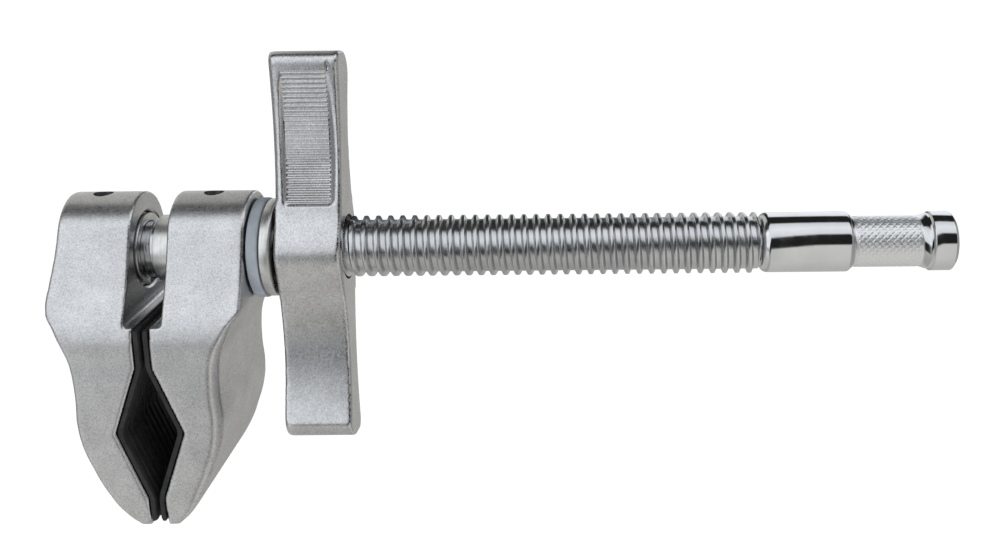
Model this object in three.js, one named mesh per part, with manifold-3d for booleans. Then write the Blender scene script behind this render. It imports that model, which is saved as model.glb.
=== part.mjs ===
// A two-inch end-jaw vise clamp with a 5/8 inch mounting pin.
// Millimetres, +Z up. The origin is the centre of the mounting pin's free end, the screw lies
// along X with the jaws on the -X side, and the jaw tips point down.
import * as THREE from "three";
import { mergeVertices } from "three/addons/utils/BufferGeometryUtils.js";
import Module from "manifold-3d";

const wasm = await Module();
wasm.setup();

// ---- driving dimensions ----
const CLEARANCE = 0.3; // air between pieces that touch or slide on the real clamp

// screw: 5/8 inch, 8 turns per inch, right hand
const PITCH = 3.175;
const THREAD_RADIUS = 7.94;
const ROOT_RADIUS = 6.62;
const THREAD_SIDES = 12; // straight steps in one turn of the thread
const CREST_WIDTH = 1.05;
const FOOT_WIDTH = 1.75;
const THREAD_LEFT = -208.6;
const THREAD_RIGHT = -51.3;
const CREST_ON_TOP = -153.0; // where one crest passes over the top of the screw
const ROD_LEFT = -227.1;
const STUD_RADIUS = 4.6;
const STUD_RIGHT = -31;
const KEYWAY = { left: -195.4, right: -138.4, width: 4, floor: 6.0 };

// mounting pin
const PIN = {
  radius: 7.85,
  recessRadius: 6.6,
  left: -50.3,
  leftChamfer: 1.8,
  shoulder: -28.2,
  recessLeft: -26.4,
  recessRight: -9,
  head: -6.2,
  headRadius: 7.75,
  chamfer: 1.2,
  boreRadius: STUD_RADIUS + CLEARANCE,
  boreRight: -30,
};

// jaws: each is drawn as distance out from the mid plane between them against height
const JAW_MID_PLANE = -205.7;
const JAW_HALF_DEPTH = 21.7;
const JAW_EDGE = 1.6; // chamfer along the front and back edges
const JAW_TOP = 15.2;
const JAW_TIP = -67.9;
const FIXED_HUB_IN = 4.2; // inner face of each jaw's hub block
const MOVING_HUB_IN = 5.0;
const LAND = 2.05; // inner face beside the rubber lining
const SHELF = -14.2; // step between the hub block and the land
const NOTCH = { top: -24.4, vertex: -42.1, bottom: -60.2, depth: 8.6 };
const FIXED_HUB_OUT = 22.6; // outer face of each jaw's hub block
const MOVING_HUB_OUT = 24.5;
const FIXED_FLARE = [
  [22.6, 8],
  [23.1, 1],
  [23.9, -5],
  [24.1, -9],
  [23.6, -11.7],
];
const JAW_BACK = [
  [22.2, -14],
  [20.9, -17],
  [19.8, -19.5],
  [18.9, -22],
  [18.3, -25],
  [18, -28.5],
  [17.9, -33],
  [18.2, -39],
  [17.8, -43.5],
  [16.4, -49],
  [14.2, -54.6],
  [11.4, -60],
  [9.5, -63],
  [7, -66],
  [4.8, JAW_TIP],
];
const ARCH = { radius: 12, height: 3, from: 4 }; // rounded top of a jaw, seen along the screw
const JAW_SLOPE = [
  [15.8, -4.7],
  [18.6, -9],
  [JAW_HALF_DEPTH, -14.5],
  [JAW_HALF_DEPTH, -64],
  [JAW_HALF_DEPTH - 0.8, JAW_TIP],
];
const FIXED_BORE_RADIUS = THREAD_RADIUS + CLEARANCE;
const FIXED_SOCKET = { radius: 9.9, depth: 6.4 };
const END_SOCKET = { radius: 10.9, depth: 4.4 };
const FIXED_PIN_X = -220.3;
const KEY_SCREW_X = -191.7;
const TOP_HOLE_RADIUS = 2.5;

// rubber lining
const PAD_THICKNESS = 1.45;
const PAD_TOP = -14.8;
const PAD_BOTTOM = -66.5;
const PAD_HALF_DEPTH = 21.3;

// bushes, washers and rings on the screw
const FIXED_BUSH = { left: -215.9, right: -211.3, inner: 8.25, outer: 9.6 };
const MOVING_BUSH = { left: -205.9, right: -182, inner: 8.16, outer: 8.72 };
const NYLON_WASHER = { left: -180.9, right: -178.1, inner: 8.4, outer: 13 };
const COLLAR = { left: -177.8, right: -175.25, inner: 8.4, outer: 12.75 };
const END_WASHER = { left: -225.1, right: -223.9, inner: 8.3, outer: 10.5 };
const SHOULDER_RING = { left: -210.6, right: -209.5, inner: 7.3, outer: 9.3 };
const END_RING = { left: -226.5, right: -225.4, inner: 7.3, outer: 9.6 };
const RING_GROOVE_RADIUS = 7;
const RING_GAP_HALF_ANGLE = 16; // degrees, half of the opening of a retaining ring

// handle: a hub with two wings, drawn upright and then turned to its resting angle
const HANDLE = {
  left: -174.95,
  right: -157.5,
  lip: 2.1, // depth of the rim in front of the nut
  lipBore: 8.5,
  waistInset: 0.35, // how much narrower each side is at the waist than at the tips
  halfLength: 51,
  hubRadius: 10.9,
  shoulder: 7.4, // height where the hub's round turns into the wing
  waistHalfThickness: 5.7,
  waist: 27,
  tipHalfThickness: 6.6,
  tipRadius: 3.9,
  tipTrailingRadius: 6.4, // on the upper wing's back and the lower wing's front
  restAngle: -5.5, // degrees about the screw, the top leans to the back
};
// Both faces of a wing are scooped out: the floor is a shallow parabola in [height, depth].
const SCOOP = { top: 46.9, bottom: 12, deepest: 34, floor: 4.7, rise: 2.6, span: 24, width: 12.6 };
const RIBS = { count: 28, height: 0.35, width: 11 };
const NUT = { left: -174.9, right: -160, radius: 9.9 };
const NUT_KEY = { left: -174.6, right: -167.4, radius: 1.1, onRadius: 10.05 };
const NUT_SLACK = { bore: 0.4, radial: 0.5, axial: 0.2 }; // thread clearance in the nut

const ROUND = 32; // sides of the round pieces
const SMALL_ROUND = 16; // sides of small holes and pins

// ---- materials ----
const castAluminium = new THREE.MeshStandardMaterial({ color: 0xc6c7c8, roughness: 0.5, metalness: 0.85 });
const chrome = new THREE.MeshStandardMaterial({ color: 0xe3e6ea, roughness: 0.1, metalness: 1 });
const steel = new THREE.MeshStandardMaterial({ color: 0xb4b4b2, roughness: 0.35, metalness: 1 });
const blackOxide = new THREE.MeshStandardMaterial({ color: 0x2b2b2c, roughness: 0.5, metalness: 0.8 });
const bronze = new THREE.MeshStandardMaterial({ color: 0xa98a4e, roughness: 0.4, metalness: 1 });
const nylon = new THREE.MeshStandardMaterial({ color: 0x8d98a3, roughness: 0.5, metalness: 0 });
const rubber = new THREE.MeshStandardMaterial({ color: 0x1f1f20, roughness: 0.85, metalness: 0 });

// ---- booleans ----
function toSolid(geometry) {
  const bare = geometry.clone();
  bare.deleteAttribute("normal");
  bare.deleteAttribute("uv");
  const merged = mergeVertices(bare, 1e-4);
  return new wasm.Manifold(
    new wasm.Mesh({
      numProp: 3,
      vertProperties: merged.attributes.position.array,
      triVerts: new Uint32Array(merged.index.array),
    }),
  );
}

function toGeometry(solid) {
  const mesh = solid.getMesh();
  const geometry = new THREE.BufferGeometry();
  geometry.setAttribute("position", new THREE.BufferAttribute(mesh.vertProperties, 3));
  geometry.setIndex(new THREE.BufferAttribute(mesh.triVerts, 1));
  return geometry;
}

function cut(solid, ...cutters) {
  return cutters.reduce((left, cutter) => left.subtract(cutter), solid);
}

// ---- basic shapes ----
// A solid of revolution about the X axis. The profile holds [x, radius] points, from -X to +X.
function turned(profile, sides = ROUND) {
  const points = profile.map(([x, radius]) => new THREE.Vector2(radius, x));
  return toSolid(new THREE.LatheGeometry(points, sides).rotateZ(-Math.PI / 2));
}

function cylinderAlongX(left, right, radius, sides = ROUND) {
  return turned([[left, 0], [left, radius], [right, radius], [right, 0]], sides);
}

function ringAlongX({ left, right, inner, outer }, sides = ROUND) {
  const profile = [[left, inner], [left, outer], [right, outer], [right, inner], [left, inner]];
  return turned(profile, sides);
}

function cylinderAlongZ(x, y, bottom, top, radius, sides = SMALL_ROUND) {
  const geometry = new THREE.CylinderGeometry(radius, radius, top - bottom, sides);
  geometry.rotateX(Math.PI / 2).translate(x, y, (top + bottom) / 2);
  return toSolid(geometry);
}

function outline(points) {
  return new THREE.Shape(points.map(([a, b]) => new THREE.Vector2(a, b)));
}

// A [x, z] outline extruded along Y, equally to both sides of the screw.
function extrudedAlongY(shape, halfDepth, edge = 0) {
  const geometry = new THREE.ExtrudeGeometry(shape, {
    depth: 2 * (halfDepth - edge),
    curveSegments: 8,
    bevelEnabled: edge > 0,
    bevelThickness: edge,
    bevelSize: edge,
    bevelOffset: -edge,
    bevelSegments: 1,
  });
  return toSolid(geometry.rotateX(Math.PI / 2).translate(0, halfDepth - edge, 0));
}

// A [y, z] outline extruded along X from left to right.
function extrudedAlongX(shape, left, right, curveSegments = 8) {
  const geometry = new THREE.ExtrudeGeometry(shape, {
    depth: right - left,
    curveSegments,
    bevelEnabled: false,
  });
  const yAxis = new THREE.Vector3(0, 1, 0);
  const zAxis = new THREE.Vector3(0, 0, 1);
  const xAxis = new THREE.Vector3(1, 0, 0);
  geometry.applyMatrix4(new THREE.Matrix4().makeBasis(yAxis, zAxis, xAxis));
  return toSolid(geometry.translate(left, 0, 0));
}

// ---- screw thread ----
// A right-hand helix about X. Its frames keep the section's first axis radial and its second
// axis along the screw, so the section is the thread's true axial section.
class Helix extends THREE.Curve {
  constructor(start, turns, radius, startAngle) {
    super();
    Object.assign(this, { start, turns, radius, startAngle });
    this.arcLengthDivisions = turns * THREAD_SIDES;
  }

  angleAt(t) {
    return this.startAngle + 2 * Math.PI * this.turns * t;
  }

  getPoint(t) {
    const angle = this.angleAt(t);
    const x = this.start + PITCH * this.turns * t;
    return new THREE.Vector3(x, this.radius * Math.cos(angle), this.radius * Math.sin(angle));
  }

  computeFrenetFrames(steps) {
    const frames = { tangents: [], normals: [], binormals: [] };
    for (let i = 0; i <= steps; i += 1) {
      const angle = this.angleAt(i / steps);
      frames.tangents.push(new THREE.Vector3(0, -Math.sin(angle), Math.cos(angle)));
      frames.normals.push(new THREE.Vector3(0, Math.cos(angle), Math.sin(angle)));
      frames.binormals.push(new THREE.Vector3(-1, 0, 0));
    }
    return frames;
  }
}

// One ridge of thread that covers left to right. Slack adds to the crest's radius and to each flank.
function threadRidge(left, right, slack = { radial: 0, axial: 0 }) {
  const firstTurn = Math.floor((left - CREST_ON_TOP) / PITCH) - 1;
  const turns = Math.ceil((right - left) / PITCH) + 3;
  const helix = new Helix(CREST_ON_TOP + firstTurn * PITCH, turns, ROOT_RADIUS, Math.PI / 2);
  const foot = FOOT_WIDTH / 2 + slack.axial;
  const crest = CREST_WIDTH / 2 + slack.axial;
  const height = THREAD_RADIUS - ROOT_RADIUS + slack.radial;
  const sunk = -0.5;
  const section = outline([
    [sunk, -foot],
    [0, -foot],
    [height, -crest],
    [height, crest],
    [0, foot],
    [sunk, foot],
  ]);
  const geometry = new THREE.ExtrudeGeometry(section, {
    steps: turns * THREAD_SIDES,
    extrudePath: helix,
  });
  return toSolid(geometry).intersect(cylinderAlongX(left, right, 2 * THREAD_RADIUS, SMALL_ROUND));
}

// ---- pieces on the root body ----
function threadedRod() {
  const collarRadius = THREAD_RADIUS - 0.04;
  const core = turned(
    [
      [ROD_LEFT, 0],
      [ROD_LEFT, collarRadius - 0.8],
      [ROD_LEFT + 0.8, collarRadius],
      [END_RING.left - 0.1, collarRadius],
      [END_RING.left - 0.1, RING_GROOVE_RADIUS],
      [END_RING.right + 0.1, RING_GROOVE_RADIUS],
      [END_RING.right + 0.1, collarRadius],
      [SHOULDER_RING.left - 0.1, collarRadius],
      [SHOULDER_RING.left - 0.1, RING_GROOVE_RADIUS],
      [SHOULDER_RING.right + 0.1, RING_GROOVE_RADIUS],
      [SHOULDER_RING.right + 0.1, ROOT_RADIUS],
      [THREAD_RIGHT + 0.3, ROOT_RADIUS],
      [THREAD_RIGHT + 0.3, STUD_RADIUS],
      [STUD_RIGHT, STUD_RADIUS],
      [STUD_RIGHT, 0],
    ],
    THREAD_SIDES * 2,
  );
  const middle = (KEYWAY.left + KEYWAY.right) / 2;
  const keyway = new THREE.BoxGeometry(KEYWAY.right - KEYWAY.left, KEYWAY.width, 4);
  keyway.translate(middle, 0, KEYWAY.floor + 2);
  const pinHole = cylinderAlongZ(FIXED_PIN_X, 0, -9, 9, TOP_HOLE_RADIUS);
  return cut(core.add(threadRidge(THREAD_LEFT, THREAD_RIGHT)), toSolid(keyway), pinHole);
}

function babyPin() {
  const { radius, left, leftChamfer, shoulder, recessLeft, recessRight, head, headRadius, chamfer } = PIN;
  const outer = turned([
    [left, 0],
    [left, radius - leftChamfer],
    [left + leftChamfer, radius],
    [shoulder, radius],
    [(shoulder + recessLeft) / 2, radius - 0.4],
    [recessLeft, PIN.recessRadius],
    [recessRight, PIN.recessRadius],
    [head, headRadius],
    [-chamfer, headRadius],
    [0, headRadius - chamfer],
    [0, 0],
  ]);
  return cut(outer, cylinderAlongX(left - 1, PIN.boreRight, PIN.boreRadius));
}

// An open retaining ring: its gap faces down.
function retainingRing({ left, right, inner, outer }) {
  const gap = THREE.MathUtils.degToRad(RING_GAP_HALF_ANGLE);
  const from = -Math.PI / 2 + gap;
  const to = (3 * Math.PI) / 2 - gap;
  const shape = new THREE.Shape();
  shape.absarc(0, 0, outer, from, to, false);
  shape.absarc(0, 0, inner, to, from, true);
  return extrudedAlongX(shape, left, right, 14);
}

// A spring pin: a rolled tube with a slit along its back.
function rollPin(x, bottom, top, outer, wall) {
  const slit = 0.35;
  const shape = new THREE.Shape();
  shape.absarc(0, 0, outer, slit, 2 * Math.PI - slit, false);
  shape.absarc(0, 0, outer - wall, 2 * Math.PI - slit, slit, true);
  const geometry = new THREE.ExtrudeGeometry(shape, {
    depth: top - bottom,
    curveSegments: 10,
    bevelEnabled: false,
  });
  return toSolid(geometry.rotateZ(Math.PI / 2).translate(x, 0, bottom));
}

// ---- jaws ----
// Side is -1 for the fixed jaw, left of the mid plane, and +1 for the moving jaw.
function jawBlank(side) {
  const hubIn = side > 0 ? MOVING_HUB_IN : FIXED_HUB_IN;
  const hubOut = side > 0 ? MOVING_HUB_OUT : FIXED_HUB_OUT;
  const hubSide = side > 0 ? [[MOVING_HUB_OUT, -11]] : FIXED_FLARE;
  const around = [
    [hubIn, JAW_TOP],
    [hubOut, JAW_TOP],
    ...hubSide,
    ...JAW_BACK,
    [LAND, JAW_TIP],
    [LAND, NOTCH.bottom],
    [NOTCH.depth, NOTCH.vertex],
    [LAND, NOTCH.top],
    [LAND, SHELF],
    [hubIn, SHELF],
  ];
  const points = around.map(([out, z]) => [JAW_MID_PLANE + side * out, z]);
  const front = extrudedAlongY(outline(side > 0 ? points.reverse() : points), JAW_HALF_DEPTH, JAW_EDGE);
  const arch = new THREE.Shape();
  const start = THREE.MathUtils.degToRad(ARCH.from);
  arch.absarc(0, ARCH.height, ARCH.radius, start, Math.PI - start, false);
  JAW_SLOPE.forEach(([y, z]) => arch.lineTo(-y, z));
  [...JAW_SLOPE].reverse().forEach(([y, z]) => arch.lineTo(y, z));
  const ends = [JAW_MID_PLANE - 30, JAW_MID_PLANE + 30];
  return front.intersect(extrudedAlongX(arch, ends[0], ends[1], 14));
}

function topHole(x) {
  return cylinderAlongZ(x, 0, -12, 20, TOP_HOLE_RADIUS);
}

function fixedJaw() {
  const innerFace = JAW_MID_PLANE - FIXED_HUB_IN;
  const outerFace = JAW_MID_PLANE - FIXED_HUB_OUT;
  return cut(
    jawBlank(-1),
    cylinderAlongX(outerFace - 1, innerFace + 1, FIXED_BORE_RADIUS),
    cylinderAlongX(innerFace - FIXED_SOCKET.depth, innerFace + 5, FIXED_SOCKET.radius),
    cylinderAlongX(outerFace - 1, outerFace + END_SOCKET.depth, END_SOCKET.radius),
    topHole(FIXED_PIN_X),
  );
}

function movingJaw() {
  const innerFace = JAW_MID_PLANE + MOVING_HUB_IN;
  const outerFace = JAW_MID_PLANE + MOVING_HUB_OUT;
  const bore = MOVING_BUSH.outer + CLEARANCE;
  const washerSeat = { left: outerFace - 0.3, right: outerFace + 4, radius: NYLON_WASHER.outer + 1 };
  return cut(
    jawBlank(1),
    cylinderAlongX(innerFace - 8, outerFace + 1, bore),
    cylinderAlongX(washerSeat.left, washerSeat.right, washerSeat.radius),
    cylinderAlongZ(KEY_SCREW_X, 0, 0, 20, TOP_HOLE_RADIUS),
  );
}

// The lining follows the jaw's inner face from just under the shelf to just above the tip.
function jawPad(side) {
  const back = CLEARANCE;
  const front = CLEARANCE + PAD_THICKNESS;
  const lining = (offset) => [
    [LAND - offset, PAD_TOP],
    [LAND - offset, NOTCH.top - offset / 3],
    [NOTCH.depth - 1.05 * offset, NOTCH.vertex],
    [LAND - offset, NOTCH.bottom + offset / 3],
    [LAND - offset, PAD_BOTTOM],
  ];
  const points = [...lining(back), ...lining(front).reverse()];
  const placed = points.map(([out, z]) => [JAW_MID_PLANE + side * out, z]);
  return extrudedAlongY(outline(side > 0 ? placed : placed.reverse()), PAD_HALF_DEPTH);
}

function movingJawBush() {
  return cut(ringAlongX(MOVING_BUSH), cylinderAlongZ(KEY_SCREW_X, 0, 4, 12, 2.1));
}

// A grub screw with a dog point: the body sits in the jaw and the point in the keyway.
function keyScrew() {
  const body = cylinderAlongZ(KEY_SCREW_X, 0, 9.4, 13.6, 2.2);
  const point = cylinderAlongZ(KEY_SCREW_X, 0, KEYWAY.floor + 0.4, 10, 1.6);
  const socket = cylinderAlongZ(KEY_SCREW_X, 0, 11.8, 14, 1.2, 6);
  return body.add(point).subtract(socket);
}

// ---- handle ----
// One face of the wings from the bottom tip over the hub to the top tip. Side is +1 or -1.
function wingSide(shape, side) {
  const { halfLength, hubRadius, shoulder, waistHalfThickness, waist, tipHalfThickness } = HANDLE;
  const { tipRadius, tipTrailingRadius } = HANDLE;
  const tip = halfLength - tipRadius;
  const trailingTip = halfLength - tipTrailingRadius;
  const shoulderHalfThickness = Math.sqrt(hubRadius ** 2 - shoulder ** 2);
  const belly = 2 * waistHalfThickness - (shoulderHalfThickness + tipHalfThickness) / 2;
  const hubFrom = Math.asin(shoulder / hubRadius);
  const middle = side > 0 ? 0 : Math.PI;
  const tipCentre = side * (tipHalfThickness - tipRadius);
  shape.absarc(tipCentre, -side * tip, tipRadius, middle - Math.PI / 2, middle, false);
  shape.quadraticCurveTo(side * belly, -side * waist, side * shoulderHalfThickness, -side * shoulder);
  shape.absarc(0, 0, hubRadius, middle - hubFrom, middle + hubFrom, false);
  shape.quadraticCurveTo(side * belly, side * waist, side * tipHalfThickness, side * trailingTip);
  const trailingCentre = side * (tipHalfThickness - tipTrailingRadius);
  shape.absarc(trailingCentre, side * trailingTip, tipTrailingRadius, middle, middle + Math.PI / 2, false);
}

function wingOutline() {
  const shape = new THREE.Shape();
  wingSide(shape, 1);
  wingSide(shape, -1);
  return shape;
}

function waistOutline() {
  const { left, right, waistInset, halfLength } = HANDLE;
  const end = halfLength + 1;
  const shape = new THREE.Shape();
  shape.moveTo(left - waistInset, -end);
  shape.lineTo(right + waistInset, -end);
  shape.quadraticCurveTo(right - waistInset, 0, right + waistInset, end);
  shape.lineTo(left - waistInset, end);
  shape.quadraticCurveTo(left + waistInset, 0, left - waistInset, -end);
  return shape;
}

// Where the scooped floor of a wing's face lies, as distance in front of the wing's mid plane.
function scoopFloor(z) {
  return SCOOP.floor + SCOOP.rise * ((z - SCOOP.deepest) / SCOOP.span) ** 2;
}

// The cutter that scoops the front face of the upper wing and, with ribs, leaves them on its floor.
function scoopCutter(ribCount, ribHeight, width) {
  const pitch = (SCOOP.top - SCOOP.bottom) / ribCount;
  const outside = -2 * HANDLE.hubRadius;
  const points = [[outside, SCOOP.top], [outside, SCOOP.bottom]];
  for (let i = ribCount; i > 0; i -= 1) {
    const low = SCOOP.top - i * pitch;
    points.push([-scoopFloor(low), low]);
    points.push([-scoopFloor(low + pitch / 2) + ribHeight, low + pitch / 2]);
  }
  points.push([-scoopFloor(SCOOP.top), SCOOP.top]);
  const middle = (HANDLE.left + HANDLE.right) / 2;
  return extrudedAlongX(outline(points), middle - width / 2, middle + width / 2);
}

function handleCasting() {
  const { left, right, lip, lipBore } = HANDLE;
  const plainScoop = scoopCutter(7, 0, SCOOP.width);
  const upperFront = plainScoop.add(scoopCutter(RIBS.count, RIBS.height, RIBS.width));
  const lowerFront = plainScoop.mirror([0, 0, 1]);
  return cut(
    extrudedAlongX(wingOutline(), left - 2, right + 2, 6).intersect(extrudedAlongY(waistOutline(), 20, 0)),
    cylinderAlongX(left - 3, right - lip, NUT.radius + CLEARANCE),
    cylinderAlongX(left - 3, right + 3, lipBore),
    upperFront,
    upperFront.rotate([180, 0, 0]),
    lowerFront,
    lowerFront.rotate([180, 0, 0]),
    ...[1, -1].map((side) => nutKeyHole(side)),
  );
}

function nutKeyHole(side) {
  return cylinderAlongX(NUT.left - 2, NUT_KEY.right + CLEARANCE, NUT_KEY.radius + CLEARANCE, 12).translate([
    0,
    0,
    side * NUT_KEY.onRadius,
  ]);
}

function nutKey(side) {
  return cylinderAlongX(NUT_KEY.left, NUT_KEY.right, NUT_KEY.radius, 12).translate([
    0,
    0,
    side * NUT_KEY.onRadius,
  ]);
}

function handleNut() {
  const bore = cylinderAlongX(NUT.left - 1, NUT.right + 1, ROOT_RADIUS + NUT_SLACK.bore, THREAD_SIDES * 2);
  const keyHoles = [1, -1].map((side) => nutKeyHole(side).rotate([HANDLE.restAngle, 0, 0]));
  return cut(
    cylinderAlongX(NUT.left, NUT.right, NUT.radius),
    bore.add(threadRidge(NUT.left - 1, NUT.right + 1, NUT_SLACK)),
    ...keyHoles,
  );
}

// ---- assembly ----
function mesh(name, solid, material) {
  const made = new THREE.Mesh(toGeometry(solid), material);
  made.name = name;
  return made;
}

const clamp = new THREE.Group();
const movingGroup = new THREE.Group();
const handleGroup = new THREE.Group();
handleGroup.rotation.x = THREE.MathUtils.degToRad(HANDLE.restAngle);

clamp.add(
  mesh("threaded_rod", threadedRod(), chrome),
  mesh("baby_pin", babyPin(), chrome),
  mesh("fixed_jaw", fixedJaw(), castAluminium),
  mesh("fixed_jaw_pad", jawPad(-1), rubber),
  mesh("fixed_jaw_bush", ringAlongX(FIXED_BUSH), steel),
  mesh("fixed_jaw_roll_pin", rollPin(FIXED_PIN_X, -11.6, 13.4, 2.2, 0.7), blackOxide),
  mesh("rod_shoulder_ring", retainingRing(SHOULDER_RING), steel),
  mesh("rod_end_washer", ringAlongX(END_WASHER), steel),
  mesh("rod_end_ring", retainingRing(END_RING), blackOxide),
);
movingGroup.add(
  mesh("moving_jaw", movingJaw(), castAluminium),
  mesh("moving_jaw_pad", jawPad(1), rubber),
  mesh("moving_jaw_bush", movingJawBush(), steel),
  mesh("moving_jaw_key_screw", keyScrew(), blackOxide),
  mesh("thrust_washer", ringAlongX(NYLON_WASHER), nylon),
  mesh("handle_nut", handleNut(), bronze),
);
handleGroup.add(
  mesh("hub_collar", ringAlongX(COLLAR), steel),
  mesh("handle", handleCasting(), castAluminium),
  mesh("handle_nut_key_upper", nutKey(1), steel),
  mesh("handle_nut_key_lower", nutKey(-1), steel),
);
movingGroup.add(handleGroup);
clamp.add(movingGroup);

export default clamp;
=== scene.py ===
import math

import bpy
import numpy as np
from mathutils import Matrix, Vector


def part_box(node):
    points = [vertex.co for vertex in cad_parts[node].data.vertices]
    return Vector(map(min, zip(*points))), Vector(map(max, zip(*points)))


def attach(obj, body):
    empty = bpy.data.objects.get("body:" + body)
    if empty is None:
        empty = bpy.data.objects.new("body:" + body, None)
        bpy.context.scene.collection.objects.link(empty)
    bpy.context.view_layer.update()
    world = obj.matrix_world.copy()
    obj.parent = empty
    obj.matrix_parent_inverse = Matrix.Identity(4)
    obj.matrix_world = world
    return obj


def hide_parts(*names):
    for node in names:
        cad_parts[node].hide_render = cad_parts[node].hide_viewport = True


# A two-inch end-jaw vise clamp with a 5/8 inch mounting pin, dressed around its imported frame.
# Meshes are built in millimetres, in the frame's own axes, and scaled to metres at the end.
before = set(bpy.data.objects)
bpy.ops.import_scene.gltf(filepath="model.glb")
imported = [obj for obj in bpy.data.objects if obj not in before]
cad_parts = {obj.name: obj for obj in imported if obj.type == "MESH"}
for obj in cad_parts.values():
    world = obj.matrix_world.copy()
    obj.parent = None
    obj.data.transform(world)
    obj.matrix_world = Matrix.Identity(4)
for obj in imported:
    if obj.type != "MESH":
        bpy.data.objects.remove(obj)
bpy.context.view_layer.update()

MM = 0.001


def box(node):
    """The lowest and highest corners of a CAD node, in millimetres."""
    low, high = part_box(node)
    return np.array(low) / MM, np.array(high) / MM


# ---- driving dimensions, in millimetres ----
ROD_LEFT, ROD_RIGHT = (corner[0] for corner in box("threaded_rod"))
PITCH = 3.175
CREST_RADIUS = 7.94
ROOT_RADIUS = 6.85
CREST_ON_TOP = -153.0  # where one crest passes over the top of the screw
THREAD_LEFT = -208.6
THREAD_RIGHT = -51.3
STUD_RADIUS = 4.6  # the screw's right end, inside the mounting pin
CLEARANCE = 0.3
KEYWAY = {"left": -195.4, "right": -138.4, "width": 4, "floor": 6.0}

PIN = {
    "shank": 7.85, "recess": 6.6, "head": 7.75,  # radii
    "shank_end": -28.2, "recess_left": -26.4, "recess_right": -9, "head_left": -6.2,
    "knurl_left": -26, "knurl_right": -9.2,
}
KNURL = {"diamonds": 23, "length": 1.8, "depth": 0.12}  # how many around, and the length of each

JAW_MID_PLANE = -205.7
JAW_TOP = 15.2
JAW_TIP = box("fixed_jaw")[0][2]
JAW_HALF_DEPTH = 21.7
FIXED_HUB_IN = 4.2  # inner faces of the hub blocks, out from the mid plane
MOVING_HUB_IN = 5.0
LAND = 2.05  # inner face beside the lining
SHELF = -14.2
NOTCH = {"top": -24.4, "vertex": -42.1, "bottom": -60.2, "depth": 8.6}
FIXED_HUB_OUT = 22.6  # outer faces of the hub blocks
MOVING_HUB_OUT = box("moving_jaw")[1][0] - JAW_MID_PLANE
HUB_BOTTOM = -11
# The outer face of a jaw below its hub: height, distance out from the mid plane.
JAW_BACK = [
    (-14, 22.2), (-17, 20.9), (-19.5, 19.8), (-22, 18.9), (-25, 18.3), (-28.5, 18), (-33, 17.9), (-39, 18.2),
    (-43.5, 17.8), (-46, 17.3), (-49, 16.4), (-52, 15.2), (-54.6, 14.2), (-57.5, 12.8), (-60, 11.4),
    (-63, 9.5), (-66, 7), (JAW_TIP, 4.8),
]
# The same above that on the fixed jaw.
FIXED_FLARE = [(8, FIXED_HUB_OUT), (3, 22.9), (-1, 23.4), (-5.5, 24), (-9, 24.2), (-11.5, 23.7)]
ARCH = {"radius": 12, "height": 3}
# The jaw's front and back faces below the arch: height, distance from the screw's plane.
JAW_SLOPE = [
    (7.5, 11.13), (3, 12.8), (-0.5, 14.2), (-4.7, 16), (-9, 18.4), (-13, 20.5), (-17, 21.45), (-25, 21.65),
    (-62, 21.65), (JAW_TIP, 20.9),
]
CHEEK = {"top": -20, "front_bottom": -58, "rear_bottom": -50}  # the outer edges are round between these

FIXED_BORE = {"radius": 8.24, "socket": 9.9, "socket_depth": 6.4, "end": 10.9, "end_depth": 4.4}
WASHER_SEAT = {"radius": 13.4, "depth": 0.3}
KEY_SCREW_X = -191.7
FIXED_PIN_X = -220.3
TOP_HOLE_RADIUS = 2.5
LINING = {"gap": 0.3, "thick": 1.45, "groove": 0.45, "rib_pitch": 2.4, "end_round": 0.35}

HANDLE_ANGLE = math.radians(-5.5)
HANDLE = {
    "left": -174.95, "right": -157.5, "waist_inset": 0.2, "half_length": 51, "hub_radius": 10.9,
    "shoulder": 7.4, "waist_half": 5.7, "waist": 27, "tip_half": 6.6, "tip_radius": 2.6,
    "trailing_radius": 6.4,  # on the upper wing's back and the lower wing's front
    "lip": 2.1,  # depth of the rim in front of the nut
    "lip_bore": 8.5,
}
HANDLE_MIDDLE = (HANDLE["left"] + HANDLE["right"]) / 2
CLEAR_OF_WING = 20  # farther from the mid plane than any face
# The ribbed panel and the plain dish of a wing. Their floors are parabolas about their deepest height, and
# the dish's curves more towards the hub than towards the tip.
SCOOP = {"top": 46.9, "bottom": 12, "deepest": 29, "floor": 4.5, "rise": 3.6, "span": 24, "width": 12.6}
DISH = {"top": 46.9, "bottom": 10, "deepest": 29, "floor": 3.9, "inner": 0.0095, "outer": 0.0082}
RIBS = {"count": 28, "height": 0.45, "width": 11.2}
PIT = {"x": HANDLE["right"] - 2.6, "y": -6.0, "z": 47.6, "half_length": 1.7, "slimness": 0.5}
NUT_RADIUS = 9.9


# ---- mesh tools ----
def make_object(name, vertices, faces):
    mesh = bpy.data.meshes.new(name)
    mesh.from_pydata([tuple(v) for v in vertices], [], faces)
    mesh.validate()
    made = bpy.data.objects.new(name, mesh)
    bpy.context.scene.collection.objects.link(made)
    return made


def solid(name, vertices, faces):
    """A closed mesh with all its faces turned out."""
    made = make_object(name, vertices, faces)
    mesh = made.data
    mesh.calc_loop_triangles()
    points = np.array([v.co for v in mesh.vertices])
    corners = points[np.array([t.vertices for t in mesh.loop_triangles])]
    volume = np.einsum("ij,ij->i", corners[:, 0], np.cross(corners[:, 1], corners[:, 2])).sum()
    if volume < 0:
        mesh.flip_normals()
    return made


def modified(piece, kind, **settings):
    """Runs one modifier on the piece's mesh and keeps the result."""
    modifier = piece.modifiers.new(kind, kind)
    for key, value in settings.items():
        setattr(modifier, key, value)
    graph = bpy.context.evaluated_depsgraph_get()
    graph.update()
    mesh = bpy.data.meshes.new_from_object(piece.evaluated_get(graph))
    piece.modifiers.clear()
    old = piece.data
    piece.data = mesh
    bpy.data.meshes.remove(old)
    return piece


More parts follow.
